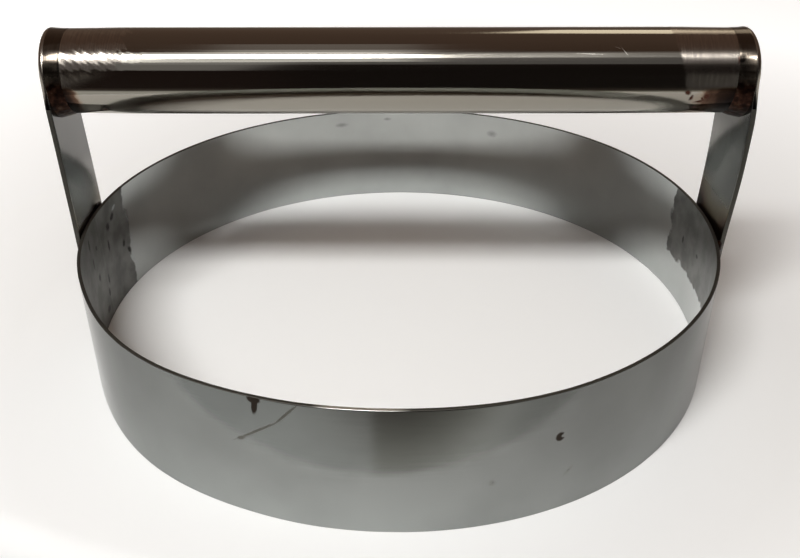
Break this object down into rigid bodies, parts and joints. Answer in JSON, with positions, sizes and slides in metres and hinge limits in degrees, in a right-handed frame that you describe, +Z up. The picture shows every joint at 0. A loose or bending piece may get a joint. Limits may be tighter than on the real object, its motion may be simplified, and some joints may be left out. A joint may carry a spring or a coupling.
{
  "type": "round pastry cutter",
  "caption": "Round dough cutter: an open stainless sheet hoop with flat uprights outside its wall and a polished tube handle across the top, welded together.",
  "frame": {"origin": "centre of the hoop on the plane of its lower, cutting edge", "axes": "+X along the handle, +Y away from the viewer of the picture, +Z up from the cutting edge to the handle"},
  "size_m": [0.2036, 0.2, 0.0985],
  "materials": {
    "satin_sheet": "dull rolled stainless sheet, rubbed bright near the uprights",
    "satin_bar": "dull rolled stainless bar, faint heat tint at its ends",
    "polished_tube": "mirror polished stainless tube, ground satin at its ends",
    "weld_metal": "weld metal, ground bright where reached and dark brown from heat elsewhere"
  },
  "bodies": {
    "root": {"cutting_ring": "satin_sheet", "ring_seam_weld": "satin_sheet", "left_strap": "satin_bar", "right_strap": "satin_bar", "handle_tube": "polished_tube", "left_end_weld": "weld_metal", "right_end_weld": "weld_metal", "left_front_lap_weld": "weld_metal", "left_rear_lap_weld": "weld_metal", "right_front_lap_weld": "weld_metal", "right_rear_lap_weld": "weld_metal"}
  },
  "joints": []
}
